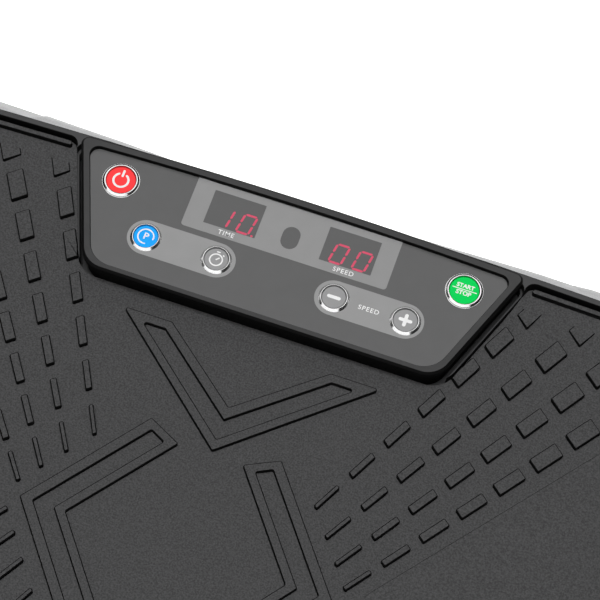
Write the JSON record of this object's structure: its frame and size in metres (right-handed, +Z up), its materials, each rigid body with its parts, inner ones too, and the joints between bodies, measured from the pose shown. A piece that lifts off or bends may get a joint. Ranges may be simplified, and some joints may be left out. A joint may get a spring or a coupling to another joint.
{
  "type": "vibration plate",
  "caption": "Slim rocking vibration plate with a grip mat, silver skirt, raised trapezoid control panel with digit windows and push buttons, and rubber suction feet.",
  "frame": {"origin": "on the floor, under the middle of the plate", "axes": "+X along the long side, +Y towards the control panel, +Z up"},
  "size_m": [0.745, 0.44, 0.13],
  "materials": {
    "pan_plastic": "fine moulded grain, black",
    "cover_plastic": "black, satin",
    "bezel_plastic": "dark grey, satin",
    "silver_plastic": "silver paint on plastic",
    "mat_rubber": "charcoal rubber, fine grain",
    "foot_rubber": "black rubber",
    "belt_rubber": "black belt",
    "lens_print": "glossy printed panel, dark grey with light grey fields",
    "smoke_plastic": "smoke window",
    "chrome_ring": "bright chrome plating",
    "red_cap": "red with a white mark",
    "green_cap": "green with a white mark",
    "blue_cap": "blue with a white mark",
    "grey_cap": "light grey with a white mark",
    "bright_steel": "turned and ground",
    "zinc_steel": "zinc plated",
    "painted_steel": "black powder coat",
    "motor_paint": "grey paint",
    "cast_block": "grey cast bearing block",
    "machined_alloy": "machined",
    "circuit_board": "green circuit board",
    "display_plastic": "black and grey digit module",
    "inlet_plastic": "black",
    "rocker_plastic": "red"
  },
  "bodies": {
    "base": {"base_pan": "pan_plastic", "base_plate": "painted_steel", "foot_front_left": "foot_rubber", "foot_front_right": "foot_rubber", "foot_back_left": "foot_rubber", "foot_back_right": "foot_rubber", "foot_screws": "zinc_steel", "block_bolts": "zinc_steel", "pivot_block_front": "cast_block", "pivot_block_back": "cast_block", "pivot_bearing_front": "bright_steel", "pivot_bearing_back": "bright_steel", "crank_block_front": "cast_block", "crank_block_back": "cast_block", "motor_bracket": "painted_steel", "motor_housing": "motor_paint", "drive_belt": "belt_rubber", "travel_stops": "foot_rubber", "power_board": "circuit_board", "power_inlet": "inlet_plastic", "switch_frame": "inlet_plastic"},
    "motor_rotor_body": {"motor_rotor": "bright_steel", "motor_pulley": "machined_alloy"},
    "crank_body": {"crank_shaft": "bright_steel", "crank_pulley": "machined_alloy", "eccentric_bearings": "bright_steel"},
    "mains_rocker_body": {"mains_rocker": "rocker_plastic"},
    "deck": {"cover_screws": "zinc_steel", "pivot_shaft": "bright_steel", "deck_plate": "painted_steel", "top_cover": "cover_plastic", "cover_rim": "cover_plastic", "mat_border": "mat_rubber", "side_skirt": "silver_plastic", "deck_mat": "mat_rubber", "console_body": "cover_plastic", "console_bezel": "bezel_plastic", "console_lens": "lens_print", "control_board": "circuit_board", "sensor_window": "smoke_plastic", "pivot_ear_front": "painted_steel", "yoke_front": "painted_steel", "pivot_ear_back": "painted_steel", "yoke_back": "painted_steel", "time_display": "display_plastic", "time_window": "smoke_plastic", "speed_display": "display_plastic", "speed_window": "smoke_plastic", "power_ring": "chrome_ring", "start_ring": "chrome_ring", "program_ring": "chrome_ring", "timer_ring": "chrome_ring", "slower_ring": "chrome_ring", "faster_ring": "chrome_ring"},
    "power_button_body": {"power_button": "red_cap"},
    "start_button_body": {"start_button": "green_cap"},
    "program_button_body": {"program_button": "blue_cap"},
    "timer_button_body": {"timer_button": "grey_cap"},
    "slower_button_body": {"slower_button": "grey_cap"},
    "faster_button_body": {"faster_button": "grey_cap"}
  },
  "joints": [
    {"name": "deck_rock", "type": "hinge", "parent": "base", "child": "deck", "pos_m": [0, 0, 0.072], "axis": [0, 1, 0], "range_deg": [-1.1, 1.1], "stiffness_Nm_per_rad": 60},
    {"name": "motor_spin", "type": "hinge", "parent": "base", "child": "motor_rotor_body", "pos_m": [0.08, 0, 0.056], "axis": [0, 1, 0], "continuous": true},
    {"name": "crank_spin", "type": "hinge", "parent": "base", "child": "crank_body", "pos_m": [0.1823, 0, 0.058], "axis": [0, 1, 0], "continuous": true},
    {"name": "mains_switch", "type": "hinge", "parent": "base", "child": "mains_rocker_body", "pos_m": [-0.112, 0.2025, 0.031], "axis": [0, 0, 1], "range_deg": [-12, 0]},
    {"name": "power_press", "type": "slide", "parent": "deck", "child": "power_button_body", "axis": [0, 0, -1], "range_m": [0, 0.0008], "stiffness_N_per_m": 600},
    {"name": "start_press", "type": "slide", "parent": "deck", "child": "start_button_body", "axis": [0, 0, -1], "range_m": [0, 0.0008], "stiffness_N_per_m": 600},
    {"name": "program_press", "type": "slide", "parent": "deck", "child": "program_button_body", "axis": [0, 0, -1], "range_m": [0, 0.0008], "stiffness_N_per_m": 600},
    {"name": "timer_press", "type": "slide", "parent": "deck", "child": "timer_button_body", "axis": [0, 0, -1], "range_m": [0, 0.0008], "stiffness_N_per_m": 600},
    {"name": "slower_press", "type": "slide", "parent": "deck", "child": "slower_button_body", "axis": [0, 0, -1], "range_m": [0, 0.0008], "stiffness_N_per_m": 600},
    {"name": "faster_press", "type": "slide", "parent": "deck", "child": "faster_button_body", "axis": [0, 0, -1], "range_m": [0, 0.0008], "stiffness_N_per_m": 600}
  ],
  "couplings": [
    {"joint": "crank_spin", "follows": "motor_spin", "ratio": 0.52}
  ]
}
